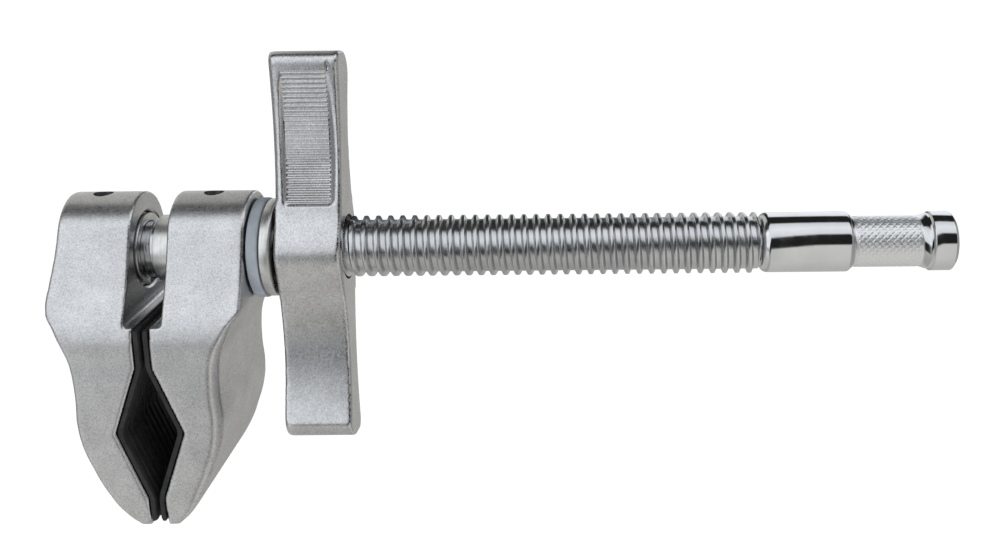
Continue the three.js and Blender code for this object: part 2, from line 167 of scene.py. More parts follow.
def combine(piece, other, operation):
    """Joins or cuts a piece with another one, which is used up."""
    modified(piece, "BOOLEAN", operation=operation, solver="MANIFOLD", object=other)
    bpy.data.objects.remove(other)
    return piece


def cut(piece, *cutters):
    for cutter in cutters:
        combine(piece, cutter, "DIFFERENCE")
    return piece


def join(piece, *others):
    for other in others:
        combine(piece, other, "UNION")
    return piece


def softened(piece, voxel, rounds):
    """Rebuilds the mesh from small voxels, and rounds its edges off."""
    modified(piece, "REMESH", mode="VOXEL", voxel_size=voxel)
    return modified(piece, "SMOOTH", factor=0.5, iterations=rounds)


def bevelled(piece, width):
    return modified(
        piece, "BEVEL", width=width, segments=2, limit_method="ANGLE", angle_limit=math.radians(40)
    )


def grid_faces(rows, columns, wrap):
    """Quads of a grid of vertices stored row by row. Wrap joins the last column to the first."""
    faces = []
    for i in range(rows - 1):
        for j in range(columns if wrap else columns - 1):
            k = (j + 1) % columns
            faces.append((i * columns + j, i * columns + k, (i + 1) * columns + k, (i + 1) * columns + j))
    return faces


def tube_faces(rows, columns):
    """Faces of a tube of vertices stored ring by ring, closed at both ends."""
    last = (rows - 1) * columns
    return [
        *grid_faces(rows, columns, True),
        tuple(range(columns - 1, -1, -1)),
        tuple(range(last, last + columns)),
    ]


def turned(name, profile, sides=96):
    """A solid of revolution about X. Its (x, radius) points end on the axis or close on themselves."""
    angles = np.linspace(0, 2 * math.pi, sides, endpoint=False)
    rings = []
    vertices = []
    for x, radius in profile:
        if radius < 1e-6:
            rings.append([len(vertices)])
            vertices.append((x, 0, 0))
        else:
            rings.append(list(range(len(vertices), len(vertices) + sides)))
            vertices += [(x, radius * math.cos(a), radius * math.sin(a)) for a in angles]
    closed = profile[0][1] > 1e-6
    pairs = zip(rings, rings[1:] + rings[:1]) if closed else zip(rings, rings[1:])
    faces = []
    for a, b in pairs:
        for j in range(sides):
            k = (j + 1) % sides
            if len(a) == 1 and len(b) == 1:
                continue
            if len(a) == 1:
                faces.append((a[0], b[k], b[j]))
            elif len(b) == 1:
                faces.append((a[j], a[k], b[0]))
            else:
                faces.append((a[j], a[k], b[k], b[j]))
    return make_object(name, vertices, faces)


def arc(cx, cy, radius, start, end, steps):
    """Points of an arc, angles in degrees."""
    angles = np.radians(np.linspace(start, end, steps))
    return [(cx + radius * math.cos(a), cy + radius * math.sin(a)) for a in angles]


def ring_profile(left, right, inner, outer, edge):
    """A washer's section with rounded edges, from its inner left edge round to its inner right edge."""
    small = min(edge, 0.2)
    return [
        *arc(left + small, inner + small, small, 270, 180, 4),
        *arc(left + edge, outer - edge, edge, 180, 90, 5),
        *arc(right - edge, outer - edge, edge, 90, 0, 5),
        *arc(right - small, inner + small, small, 0, -90, 4),
    ]


def cylinder_x(left, right, radius, sides=96):
    return turned("cylinder", [(left, 0), (left, radius), (right, radius), (right, 0)], sides)


def rounded_cylinder(name, left, right, radius, edge, sides=96):
    """A cylinder along X with rounded edges."""
    return turned(name, [
        (left, 0),
        *arc(left + edge, radius - edge, edge, 180, 90, 4),
        *arc(right - edge, radius - edge, edge, 90, 0, 4),
        (right, 0),
    ], sides)


def stood_up(piece, x):
    """Turns a piece that was made along X upright, and moves it along the screw to x."""
    piece.data.transform(Matrix.Translation((x, 0, 0)) @ Matrix.Rotation(-math.pi / 2, 4, "Y"))
    return piece


def top_hole(x, bottom, top):
    """The cutter for the upright hole of a jaw's pin or screw."""
    return stood_up(cylinder_x(bottom, top, TOP_HOLE_RADIUS, 48), x)


def prism(name, outline, left, right):
    """An outline of (y, z) points, extruded along X."""
    count = len(outline)
    vertices = [(x, y, z) for x in (left, right) for y, z in outline]
    faces = [tuple(range(count)), tuple(range(2 * count - 1, count - 1, -1))]
    faces += [(i, i + count, (i + 1) % count + count, (i + 1) % count) for i in range(count)]
    return solid(name, vertices, faces)


def rounded_section(left, right, front, back, radii):
    """A rectangle seen from above, anticlockwise from its front left corner, with four corner radii."""
    steps = 8
    most = 0.499 * min(right - left, back - front)
    a, b, c, d = (min(radius, most) for radius in radii)
    return [
        *arc(left + a, front + a, a, 180, 270, steps),
        *arc(right - b, front + b, b, 270, 360, steps),
        *arc(right - c, back - c, c, 0, 90, steps),
        *arc(left + d, back - d, d, 90, 180, steps),
    ]


def stacked(name, sections):
    """A solid from (height, section) pairs that all have the same number of points, from low to high."""
    vertices = [(x, y, z) for z, section in sections for x, y in section]
    return solid(name, vertices, tube_faces(len(sections), len(sections[0][1])))


def curve_through(points, at):
    """Smooth interpolation through (position, value) points, by cubic curves with matching slopes."""
    x = np.array([p[0] for p in points], float)
    y = np.array([p[1] for p in points], float)
    order = np.argsort(x)
    x = x[order]
    y = y[order]
    slope = np.gradient(y, x)
    i = int(np.clip(np.searchsorted(x, at) - 1, 0, len(x) - 2))
    h = x[i + 1] - x[i]
    t = float(np.clip((at - x[i]) / h, 0, 1))
    return (
        (2 * t**3 - 3 * t**2 + 1) * y[i]
        + (t**3 - 2 * t**2 + t) * h * slope[i]
        + (3 * t**2 - 2 * t**3) * y[i + 1]
        + (t**3 - t**2) * h * slope[i + 1]
    )


def finish_piece(piece, name, nodes, body, material, crease=35):
    """Scales a piece to metres, shades it, and fixes it to its body in place of its CAD nodes."""
    piece.name = name
    piece.data.name = name
    piece.data.transform(Matrix.Scale(MM, 4))
    piece.data.shade_smooth()
    piece.data.set_sharp_from_angle(angle=math.radians(crease))
    piece.data.materials.clear()
    piece.data.materials.append(material)
    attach(piece, body)
    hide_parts(*nodes)


# ---- materials ----
class NodeTree:
    """The nodes of a material or of the world, under construction."""

    def __init__(self, tree):
        self.nodes = tree.nodes
        self.links = tree.links

    def node(self, kind, **inputs):
        """A new node with some inputs set. An underscore in a name stands for a space."""
        made = self.nodes.new(kind)
        for key, value in inputs.items():
            made.inputs[key.replace("_", " ")].default_value = value
        return made

    def feed(self, socket, value):
        """Links a socket to another one, or sets it to a number or a colour."""
        if isinstance(value, bpy.types.NodeSocket):
            self.links.new(value, socket)
        elif isinstance(value, tuple):
            socket.default_value = (*value, 1)
        else:
            socket.default_value = value

    def math(self, operation, *values):
        made = self.node("ShaderNodeMath")
        made.operation = operation
        for socket, value in zip(made.inputs, values):
            self.feed(socket, value)
        return made.outputs["Value"]

    def span(self, value, target, source=(0.3, 0.7), interpolation="LINEAR"):
        """The value's source range stretched to the target range. The usual source is a noise's middle."""
        made = self.node(
            "ShaderNodeMapRange", From_Min=source[0], From_Max=source[1], To_Min=target[0], To_Max=target[1]
        )
        made.interpolation_type = interpolation
        self.links.new(value, made.inputs["Value"])
        return made.outputs["Result"]

    def ramp(self, value, stops):
        made = self.node("ShaderNodeValToRGB")
        elements = made.color_ramp.elements
        while len(elements) < len(stops):
            elements.new(0.5)
        for element, (position, color) in zip(elements, stops):
            element.position = position
            element.color = (*color, 1)
        self.links.new(value, made.inputs["Fac"])
        return made.outputs["Color"]

    def mix(self, factor, a, b, kind="MIX"):
        made = self.node("ShaderNodeMix")
        made.data_type = "RGBA"
        made.blend_type = kind
        self.feed(made.inputs["Factor"], factor)
        colors = [socket for socket in made.inputs if socket.type == "RGBA"]
        self.feed(colors[0], a)
        self.feed(colors[1], b)
        return next(socket for socket in made.outputs if socket.type == "RGBA")


class Shader(NodeTree):
    """A material under construction. Coordinates are the object's own, in metres."""

    def __init__(self, name, color, metallic, roughness):
        self.material = bpy.data.materials.new(name)
        self.material.use_nodes = True
        super().__init__(self.material.node_tree)
        self.inputs = self.nodes["Principled BSDF"].inputs
        self.inputs["Base Color"].default_value = (*color, 1)
        self.inputs["Metallic"].default_value = metallic
        self.inputs["Roughness"].default_value = roughness
        self.coordinates = self.node("ShaderNodeTexCoord").outputs["Object"]

    def stretched(self, scale):
        """The coordinates scaled by a different amount along each axis."""
        mapping = self.node("ShaderNodeMapping", Scale=scale)
        self.links.new(self.coordinates, mapping.inputs["Vector"])
        return mapping.outputs["Vector"]

    def noise(self, size, detail=3, roughness=0.55, vector=None):
        """Noise whose features are about size millimetres across."""
        made = self.node(
            "ShaderNodeTexNoise", Scale=1 / (size * MM), Detail=detail, Roughness=roughness
        )
        self.links.new(vector or self.coordinates, made.inputs["Vector"])
        return made.outputs["Fac"]

    def color(self, value):
        self.links.new(value, self.inputs["Base Color"])

    def roughness(self, value):
        self.links.new(value, self.inputs["Roughness"])

    def bump(self, *layers):
        """Adds bump layers of (height value, depth in millimetres)."""
        normal = None
        for height, depth in layers:
            made = self.node("ShaderNodeBump", Strength=1, Distance=depth * MM)
            self.links.new(height, made.inputs["Height"])
            if normal:
                self.links.new(normal, made.inputs["Normal"])
            normal = made.outputs["Normal"]
        self.links.new(normal, self.inputs["Normal"])


def gray(value):
    return (value, value, value)


def cast_aluminium(name, low, high, relief):
    """Cast aluminium: a fine bright grain over soft mottling. Low and high bound its roughness."""
    s = Shader(name, (0.62, 0.62, 0.63), 1.0, low)
    grain = s.noise(0.4, detail=2, roughness=0.6)
    mottle = s.noise(7, detail=3)
    speck = s.ramp(grain, [
        (0.3, (0.47, 0.47, 0.48)), (0.5, (0.64, 0.64, 0.65)), (0.7, (0.76, 0.76, 0.77)),
    ])
    shade = s.ramp(mottle, [(0.3, gray(0.87)), (0.65, gray(1))])
    s.color(s.mix(1.0, speck, shade, "MULTIPLY"))
    s.roughness(s.span(s.noise(0.8, detail=2), (low, high)))
    s.bump((s.noise(0.5, detail=0), 0.3 * relief), (s.noise(2.6, detail=1), relief))
    return s.material


def chrome(name, shade, polish, wear, dull_and_painted_sheen_stretch=None):
    """Polished plating, faintly dulled, with a little wear.

    Shade and polish are the lowest and highest brightness and roughness, and wear is the size and the
    depth of its waves. The last argument is the stretch along the screw whose plating is dull, as on a
    knurl; there the base colour is also painted lighter, a painted sheen.
    """
    s = Shader(name, gray(shade[1]), 1.0, polish[0])
    low, high = ((0.97 * v, 0.98 * v, v) for v in shade)
    color = s.ramp(s.noise(9, detail=4), [(0.3, low), (0.7, high)])
    roughness = s.span(s.noise(wear[0], detail=4), polish)
    if dull_and_painted_sheen_stretch:
        dullness_and_painted_sheen = along_screw(s, *dull_and_painted_sheen_stretch)
        # Painted sheen: along this stretch the base colour is painted lighter, standing in for the light the
        # knurl's facets catch; the added roughness is the plating's real dullness.
        color = s.mix(dullness_and_painted_sheen, color, (0.86, 0.87, 0.88))
        roughness = s.math("ADD", roughness, s.math("MULTIPLY", dullness_and_painted_sheen, 0.3))
    s.color(color)
    s.roughness(roughness)
    s.bump((s.noise(wear[0], detail=1), wear[1]))
    return s.material


def along_screw(s, left, right):
    """One between two places along the screw, given in millimetres, and zero past them."""
    fade = 0.5
    split = s.node("ShaderNodeSeparateXYZ")
    s.links.new(s.coordinates, split.inputs["Vector"])
    x = split.outputs["X"]
    return s.math(
        "MULTIPLY",
        s.span(x, (0, 1), ((left - fade) * MM, left * MM)),
        s.span(x, (1, 0), (right * MM, (right + fade) * MM)),
    )


def turned_steel(name, dark, light, low, high, metallic=1.0):
    """Turned metal: fine rings about the screw's axis."""
    s = Shader(name, light, metallic, (low + high) / 2)
    rings = s.noise(0.25, detail=2, vector=s.stretched((1, 0.04, 0.04)))
    s.color(s.ramp(s.noise(3, detail=3), [(0.3, dark), (0.7, light)]))
    s.roughness(s.span(rings, (low, high)))
    s.bump((rings, 0.012))
    return s.material


def nylon():
    s = Shader("nylon", (0.4, 0.44, 0.48), 0.0, 0.5)
    s.color(s.ramp(s.noise(4, detail=3), [(0.3, (0.34, 0.38, 0.42)), (0.7, (0.44, 0.48, 0.52))]))
    s.roughness(s.span(s.noise(0.6), (0.42, 0.6)))
    s.bump((s.noise(0.5), 0.01))
    return s.material


def rubber():
    s = Shader("rubber", (0.018, 0.018, 0.019), 0.0, 0.7)
    s.color(s.ramp(s.noise(2.5, detail=4), [(0.3, (0.010, 0.010, 0.011)), (0.75, (0.03, 0.03, 0.031))]))
    s.roughness(s.span(s.noise(0.8), (0.6, 0.85)))
    s.bump((s.noise(0.35, detail=2), 0.02))
    return s.material


JAW_CASTING = cast_aluminium("blasted_aluminium", 0.27, 0.37, 0.024)
HANDLE_CASTING = cast_aluminium("tumbled_aluminium", 0.22, 0.32, 0.018)
# The knurl's stretch, where the pin's plating is duller and its colour is painted lighter as a painted
# sheen.
KNURL_DULL_AND_SHEEN_STRETCH = (PIN["knurl_left"] - 0.2, PIN["knurl_right"])
PIN_CHROME = chrome("pin_chrome", (0.64, 0.71), (0.05, 0.13), (2.2, 0.006), KNURL_DULL_AND_SHEEN_STRETCH)
SCREW_CHROME = chrome("screw_chrome", (0.55, 0.66), (0.15, 0.27), (1.5, 0.01))
STEEL = turned_steel("plain_steel", (0.6, 0.6, 0.59), (0.78, 0.78, 0.77), 0.24, 0.42)
DARK_STEEL = turned_steel("dark_steel", (0.025, 0.025, 0.027), (0.06, 0.06, 0.064), 0.35, 0.55, 0.8)
BRONZE = turned_steel("bronze", (0.36, 0.24, 0.1), (0.55, 0.4, 0.19), 0.25, 0.45)
NYLON = nylon()
RUBBER = rubber()


# ---- screw ----
def thread_radius(offset, slack):
    """Radius of the thread at an axial offset from its crest: a narrow flat, soft flanks and a flat root."""
    flat = 0.34
    foot = 1.05
    t = np.clip((np.abs(offset) - flat - slack) / (foot - flat), 0, 1)
    flank = (0.5 + 0.5 * np.cos(math.pi * t)) ** 0.8
    return ROOT_RADIUS + slack + (CREST_RADIUS - ROOT_RADIUS) * flank


def thread(left, right, slack=0.0):
    """A solid thread from left to right. Its rows of vertices follow the helix."""
    rows_per_turn = 20
    columns = 72
    spare_turns = 2  # past each end, to be cut off
    first = math.floor((left - CREST_ON_TOP) / PITCH) - spare_turns
    turns = math.ceil((right - left) / PITCH) + 2 * spare_turns
    offsets = (np.arange(rows_per_turn) + 0.5) / rows_per_turn * PITCH - PITCH / 2
    radii = thread_radius(offsets, slack)
    angles = np.linspace(0, 2 * math.pi, columns, endpoint=False)
    rise = PITCH * (angles - math.pi / 2) / (2 * math.pi)
    vertices = []
    for row in range(turns * rows_per_turn):
        turn, place = divmod(row, rows_per_turn)
        x = CREST_ON_TOP + (first + turn) * PITCH + offsets[place] + rise
        r = radii[place]
        vertices += list(zip(x, r * np.cos(angles), r * np.sin(angles)))
    rows = turns * rows_per_turn
    faces = grid_faces(rows, columns, False)
    for i in range(rows - 1 - rows_per_turn):
        a = i * columns + columns - 1
        b = (i + rows_per_turn) * columns
        faces.append((a, b, b + columns, a + columns))
    left_axis = len(vertices)
    right_axis = left_axis + 1
    vertices += [(vertices[0][0], 0, 0), (vertices[-1][0], 0, 0)]
    # The helix leaves a step at each end, so each end's edge runs round the turn and along the step.
    start = list(range(columns)) + [i * columns for i in range(rows_per_turn, 0, -1)]
    last = (rows - 1) * columns
    end = [last + j for j in range(columns)]
    end += [last + columns - 1 - i * columns for i in range(1, rows_per_turn + 1)]
    faces += [(left_axis, b, a) for a, b in zip(start, start[1:] + start[:1])]
    faces += [(right_axis, a, b) for a, b in zip(end, end[1:] + end[:1])]
    made = solid("thread", vertices, faces)
    return combine(made, cylinder_x(left, right, 2 * CREST_RADIUS), "INTERSECT")


def threaded_rod():
    plain = CREST_RADIUS - 0.04
    core = ROOT_RADIUS - 0.01
    groove = 7.0
    edge = 0.8
    play = 0.1
    end_ring, shoulder_ring = (
        [corner[0] for corner in box(node)] for node in ("rod_end_ring", "rod_shoulder_ring")
    )
    rod = turned("rod_core", [
        (ROD_LEFT, 0),
        *arc(ROD_LEFT + edge, plain - edge, edge, 180, 90, 6),
        (end_ring[0] - play, plain),
        (end_ring[0] - play, groove),
        (end_ring[1] + play, groove),
        (end_ring[1] + play, plain),
        (shoulder_ring[0] - play, plain),
        (shoulder_ring[0] - play, groove),
        (shoulder_ring[1] + play, groove),
        (shoulder_ring[1] + play, core),
        (THREAD_RIGHT + CLEARANCE, core),
        (THREAD_RIGHT + CLEARANCE, STUD_RADIUS),
        (ROD_RIGHT, STUD_RADIUS),
        (ROD_RIGHT, 0),
    ], 72)
    join(rod, thread(THREAD_LEFT, THREAD_RIGHT))
    half = KEYWAY["width"] / 2
    above = CREST_RADIUS + 2
    outline = [(-half, KEYWAY["floor"]), (half, KEYWAY["floor"]), (half, above), (-half, above)]
    keyway = prism("keyway", outline, KEYWAY["left"], KEYWAY["right"])
    cut(rod, keyway, top_hole(FIXED_PIN_X, -9, 9))
    finish_piece(rod, "screw", ["threaded_rod"], "screw_body", SCREW_CHROME, 40)


def mounting_pin():
    """The 5/8 inch pin: shank, knurled recess and head."""
    left, right = (corner[0] for corner in box("baby_pin"))
    shank, recess, head = PIN["shank"], PIN["recess"], PIN["head"]
    recess_left, head_left = PIN["recess_left"], PIN["head_left"]
    pin = turned("pin_body", [
        (left, 0),
        (left, shank - 1.9),
        *arc(left + 1.9, shank - 2.2, 2.2, 158, 90, 9),
        *arc(PIN["shank_end"], shank - 1.3, 1.3, 90, 25, 8),
        (recess_left - 0.25, recess + 0.35),
        (recess_left - 0.15, recess - 0.1),
        (recess_left, recess - 0.1),
        (PIN["knurl_left"], recess),
        (PIN["knurl_right"], recess),
        (PIN["recess_right"], recess),
        # The head: its soft shoulder, its rim, and the end's chamfer and turning centre.
        (head_left - 1.1, head - 0.55),
        (head_left - 0.9, head - 0.5),
        (head_left - 0.5, head - 0.45),
        *arc(head_left + 0.1, head - 0.3, 0.3, 150, 90, 4),
        *arc(right - 1.1, head - 0.4, 0.4, 90, 45, 4),
        (right - 0.05, head - 1.15),
        (right, head - 1.35),
        (right, 1.6),
        (right - 0.9, 0),
    ], 128)
    cut(pin, cylinder_x(left - 1, ROD_RIGHT + 1, STUD_RADIUS + CLEARANCE))
    join(pin, knurl(PIN["knurl_left"], PIN["knurl_right"], recess))
    finish_piece(pin, "mounting_pin", ["baby_pin"], "screw_body", PIN_CHROME, 30)


def knurl(left, right, radius):
    """A sleeve of shallow diamonds, two crossed sets of grooves that fade out at both ends."""
    step = 0.15
    rows = int((right - left) / step)
    columns = 12 * KNURL["diamonds"]
    angles = np.linspace(0, 2 * math.pi, columns, endpoint=False)
    around = KNURL["diamonds"] * angles / (2 * math.pi)
    vertices = []
    for i in range(rows + 1):
        x = left + (right - left) * i / rows
        along = x / KNURL["length"]
        waves = np.abs(np.sin(math.pi * (around + along))), np.abs(np.sin(math.pi * (around - along)))
        height = KNURL["depth"] * np.minimum(1.25 * np.minimum(*waves), 0.8)
        fade = min(1, 2.5 * i * step, 2.5 * (rows - i) * step)
        r = radius - 0.05 + (height + 0.03) * fade
        vertices += list(zip(np.full(columns, x), r * np.cos(angles), r * np.sin(angles)))
    return solid("knurl", vertices, tube_faces(rows + 1, columns))


def ring_piece(name, node, body, material, edge=0.3):
    """A plain turned ring in place of a CAD ring, with rounded edges."""
    low, high = box(node)
    inner = min(math.hypot(v.co.y, v.co.z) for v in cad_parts[node].data.vertices) / MM
    ring = turned(name, ring_profile(low[0], high[0], inner, high[1], edge), 96)
    finish_piece(ring, name, [node], body, material)


def split_tube(name, left, right, inner, outer, gap_at, half_gap, steps):
    """A tube along X with a gap along its side. Angles are in degrees."""
    first = gap_at + half_gap
    last = gap_at + 360 - half_gap
    points = arc(0, 0, outer, first, last, steps) + arc(0, 0, inner, last, first, steps)
    return prism(name, points, left, right)


def split_ring(name, node, material):
    """An open retaining ring, its gap down."""
    low, high = box(node)
    ring = split_tube(name, low[0], high[0], 7.3, high[1], -90, 16, 60)
    bevelled(ring, 0.12)
    finish_piece(ring, name, [node], "screw_body", material)


def roll_pin():
    """A spring pin: a rolled tube with a slit along its side."""
    low, high = box("fixed_jaw_roll_pin")
    tube = split_tube("roll_pin", low[2], high[2], 1.5, 2.2, 90, 18, 40)
    bevelled(stood_up(tube, FIXED_PIN_X), 0.15)
    finish_piece(tube, "roll_pin", ["fixed_jaw_roll_pin"], "screw_body", DARK_STEEL)


def key_screw():
    """The grub screw in the moving jaw, its dog point in the screw's keyway."""
    bottom, top = (corner[2] for corner in box("moving_jaw_key_screw"))
    body = 2.2
    dog = 1.6
    dog_top = 9.4
    chamfer = 0.35
    screw = turned("key_screw", [
        (bottom, 0), (bottom, dog - 0.2), (bottom + 0.2, dog), (dog_top, dog), (dog_top + 0.1, body),
        (top - chamfer, body), (top, body - chamfer), (top, 0),
    ], 48)
    hexagon = cylinder_x(top - 1.8, top + 1, 1.2, 6)
    stood_up(cut(screw, hexagon), KEY_SCREW_X)
    finish_piece(screw, "key_screw", ["moving_jaw_key_screw"], "jaw_body", DARK_STEEL)


# ---- jaws ----
def jaw_inner(z, side):
    """Inner face of a jaw at a height, out from the mid plane."""
    if z > SHELF:
        return FIXED_HUB_IN if side < 0 else MOVING_HUB_IN
    heights = [NOTCH["bottom"], NOTCH["vertex"], NOTCH["top"]]
    return float(np.interp(z, heights, [LAND, NOTCH["depth"], LAND]))


def jaw_outer(z, side):
    """Outer face of a jaw at a height, out from the mid plane."""
    if side < 0:
        return curve_through([(JAW_TOP, FIXED_HUB_OUT), *FIXED_FLARE, *JAW_BACK], z)
    if z >= HUB_BOTTOM:
        return MOVING_HUB_OUT
    return curve_through([(HUB_BOTTOM, MOVING_HUB_OUT), *JAW_BACK], z)


def jaw_half_depth(z):
    """Half the width of a jaw from front to back: an arch over the screw, with slopes down to the cheeks."""
    if z > JAW_SLOPE[0][0]:
        rise = min(z - ARCH["height"], ARCH["radius"] - 0.002)
        return math.sqrt(ARCH["radius"] ** 2 - rise**2)
    return min(curve_through(JAW_SLOPE, z), JAW_HALF_DEPTH)


def jaw_blank(side, front_round, rear_round):
    """One jaw before machining. Side is -1 for the fixed jaw and 1 for the moving one.

    The rounds are the radii of its outer edges along the cheeks. They are smaller at the tip and the hub.
    """
    crown = ARCH["height"] + ARCH["radius"]
    front_heights = [JAW_TIP, CHEEK["front_bottom"], CHEEK["top"], HUB_BOTTOM - 1]
    front_rounds = [0.8, front_round, front_round, 0.8]
    rear_heights = [JAW_TIP, CHEEK["rear_bottom"], CHEEK["top"], HUB_BOTTOM - 1, 4]
    rear_rounds = [1.5, rear_round, rear_round, 2.5, 1.2]
    heights = list(np.arange(JAW_TIP, 4, 0.5))
    heights += [SHELF - 0.01, SHELF + 0.01, NOTCH["top"], NOTCH["vertex"], NOTCH["bottom"]]
    heights += [ARCH["height"] + ARCH["radius"] * math.sin(a) for a in np.linspace(0.4, math.pi / 2, 24)]
    sections = []
    for z in sorted(heights):
        half = jaw_half_depth(min(z, crown))
        front = float(np.interp(z, front_heights, front_rounds))
        rear = float(np.interp(z, rear_heights, rear_rounds))
        faces = JAW_MID_PLANE + side * jaw_inner(z, side), JAW_MID_PLANE + side * jaw_outer(z, side)
        (a, d), (b, c) = [(0.25, 0.5), (front, rear)][::side]
        sections.append((z, rounded_section(min(faces), max(faces), -half, half, (a, b, c, d))))
    return softened(stacked("jaw_blank", sections), voxel=0.42, rounds=4)


def fixed_jaw():
    inner = JAW_MID_PLANE - FIXED_HUB_IN
    outer = JAW_MID_PLANE - FIXED_HUB_OUT
    bottom = inner - FIXED_BORE["socket_depth"]
    radius = FIXED_BORE["socket"]
    mouth = radius + 0.8
    socket = turned("socket", [
        (bottom, 0), (bottom, radius), (inner - 0.5, radius), (inner + 0.3, mouth), (inner + 4, mouth),
        (inner + 4, 0),
    ])
    jaw = cut(
        jaw_blank(-1, front_round=0.8, rear_round=4),
        cylinder_x(outer - 2, inner + 1, FIXED_BORE["radius"]),
        socket,
        cylinder_x(outer - 2, outer + FIXED_BORE["end_depth"], FIXED_BORE["end"]),
        top_hole(FIXED_PIN_X, -12, 20),
    )
    finish_piece(
        jaw, "fixed_jaw_casting", ["fixed_jaw"], "screw_body", JAW_CASTING, 40
    )


def moving_jaw():
    inner = JAW_MID_PLANE + MOVING_HUB_IN
    outer = JAW_MID_PLANE + MOVING_HUB_OUT
    bore = box("moving_jaw_bush")[1][1] + CLEARANCE
    jaw = cut(
        jaw_blank(1, front_round=2.4, rear_round=5),
        cylinder_x(inner - 8, outer + 1, bore),
        cylinder_x(outer - WASHER_SEAT["depth"], outer + 4, WASHER_SEAT["radius"]),
        top_hole(KEY_SCREW_X, 0, 20),
    )
    finish_piece(
        jaw, "moving_jaw_casting", ["moving_jaw"], "jaw_body", JAW_CASTING, 40
    )


def lining_ribs(across):
    """How far the lining's face lies back across its width: grooves between ribs, and rounded sides."""
    phase = np.abs(((across / LINING["rib_pitch"]) % 1) - 0.5) * 2
    dip = LINING["groove"] * np.clip((phase - 0.62) / 0.2, 0, 1)
    dip[:4] = np.linspace(LINING["end_round"], 0, 4)
    dip[-4:] = np.linspace(0, LINING["end_round"], 4)
    return dip


def lining(side, name, node, body):
    """The rubber lining of a jaw: a strip with a row of low ribs that run down it."""
    low, high = box(node)
    gap = LINING["gap"]
    heights = np.linspace(low[2], high[2], 90)
    knots = [low[2], NOTCH["bottom"] + gap, NOTCH["vertex"], NOTCH["top"] - gap, high[2]]
    depths = np.interp(heights, knots, [LAND, LAND, NOTCH["depth"], LAND, LAND])
    # A running mean over five heights rounds the folds.
    depths = np.convolve(np.pad(depths, 2, "edge"), np.ones(5) / 5, "valid")
    across = np.linspace(low[1], high[1], 181)
    dip = lining_ribs(across)
    vertices = []
    for z, depth in zip(heights, depths):
        back = JAW_MID_PLANE + side * (depth - gap)
        end = min(z - low[2], high[2] - z)
        face = depth - gap - LINING["thick"] + LINING["end_round"] * max(0, 1 - end / 0.8)
        vertices += [(back, y, z) for y in across]
        vertices += [(JAW_MID_PLANE + side * (face + d), y, z) for y, d in zip(across[::-1], dip[::-1])]
    strip = solid(name, vertices, tube_faces(len(heights), 2 * len(across)))
    finish_piece(strip, name, [node], body, RUBBER, 50)


# ---- handle ----
def wing_face(z, tip_radius):
    """Distance of a wing's face from its mid plane at a height from the screw."""
    h = HANDLE
    z = abs(z)
    if z <= h["shoulder"]:
        return math.sqrt(h["hub_radius"] ** 2 - z**2)
    tip = h["half_length"] - tip_radius
    if z >= tip:
        rise = min(z - tip, tip_radius - 0.01)
        return h["tip_half"] - tip_radius + math.sqrt(tip_radius**2 - rise**2)
    root = math.sqrt(h["hub_radius"] ** 2 - h["shoulder"] ** 2)
    belly = 2 * h["waist_half"] - (root + h["tip_half"]) / 2
    # Solve the quadratic curve's height for its parameter, then take its thickness there.
    a = h["shoulder"] - 2 * h["waist"] + tip
    b = 2 * (h["waist"] - h["shoulder"])
    c = h["shoulder"] - z
    t = -c / b if abs(a) < 1e-9 else (-b + math.sqrt(b * b - 4 * a * c)) / (2 * a)
    return (1 - t) ** 2 * root + 2 * t * (1 - t) * belly + t**2 * h["tip_half"]


def filleted_face(z, tip_radius):
    """The wing's face with the corner beside the hub rounded out, by a mean over a few millimetres."""
    reach = 3.2 * min(1, max(0, (40 - abs(z)) / 20))
    return float(np.mean([wing_face(z + reach * t, tip_radius) for t in np.linspace(-1, 1, 15)]))


def handle_blank():
    """The casting before its panels are sunk and its hub is bored, with its wings upright."""
    h = HANDLE
    length = h["half_length"]
    heights = set(np.arange(-44, 44.1, 0.5))
    for radius in (h["tip_radius"], h["trailing_radius"]):
        for a in np.linspace(0, math.pi / 2, 16):
            heights |= {length - radius + radius * math.sin(a), -length + radius - radius * math.sin(a)}
    sections = []
    for z in sorted(heights):
        upper = z > 0
        front = filleted_face(z, h["tip_radius"] if upper else h["trailing_radius"])
        back = filleted_face(z, h["trailing_radius"] if upper else h["tip_radius"])
        inset = h["waist_inset"] * (1 - 2 * (z / length) ** 2)
        left = h["left"] + inset
        right = h["right"] - inset
        edge = 0.7 if abs(z) < 13 else 1.7  # sharper at the hub
        sections.append((z, rounded_section(left, right, -front, back, (edge, 0.6, edge, 0.6))))
    return stacked("handle_blank", sections)


def scoop_floor(z):
    return SCOOP["floor"] + SCOOP["rise"] * ((z - SCOOP["deepest"]) / SCOOP["span"]) ** 2


def scoop_cutter():
    """The cutter for the shallow panel in the front face of the upper wing, with sloping walls."""
    sections = []
    top, bottom = SCOOP["top"], SCOOP["bottom"]
    outside = -CLEAR_OF_WING
    for z in np.linspace(bottom, top, 60):
        end = min(z - bottom, top - z)
        floor = -scoop_floor(z) - 0.35 * max(0, 1 - end / 0.8)
        half = SCOOP["width"] / 2 - 0.4 * max(0, 1 - end)
        left = HANDLE_MIDDLE - half
        right = HANDLE_MIDDLE + half
        sections.append((z, [
            (left - 1, outside), (right + 3, outside), (right + 2.1, floor - 2),
            (right - 0.6, floor), (left + 0.6, floor), (left - 0.4, floor - 2),
        ]))
    return stacked("scoop", sections)


def dish_cutter():
    """The cutter for the plain dish in the back of the upper wing: full width, with a step at the tip."""
    sections = []
    left = HANDLE["left"] - 3
    right = HANDLE["right"] + 3
    outside = CLEAR_OF_WING
    for z in np.linspace(DISH["bottom"], DISH["top"], 60):
        curve = DISH["inner"] if z < DISH["deepest"] else DISH["outer"]
        floor = DISH["floor"] + curve * (z - DISH["deepest"]) ** 2
        sections.append((z, [(left, floor), (right, floor), (right, outside), (left, outside)]))
    return stacked("dish", sections)


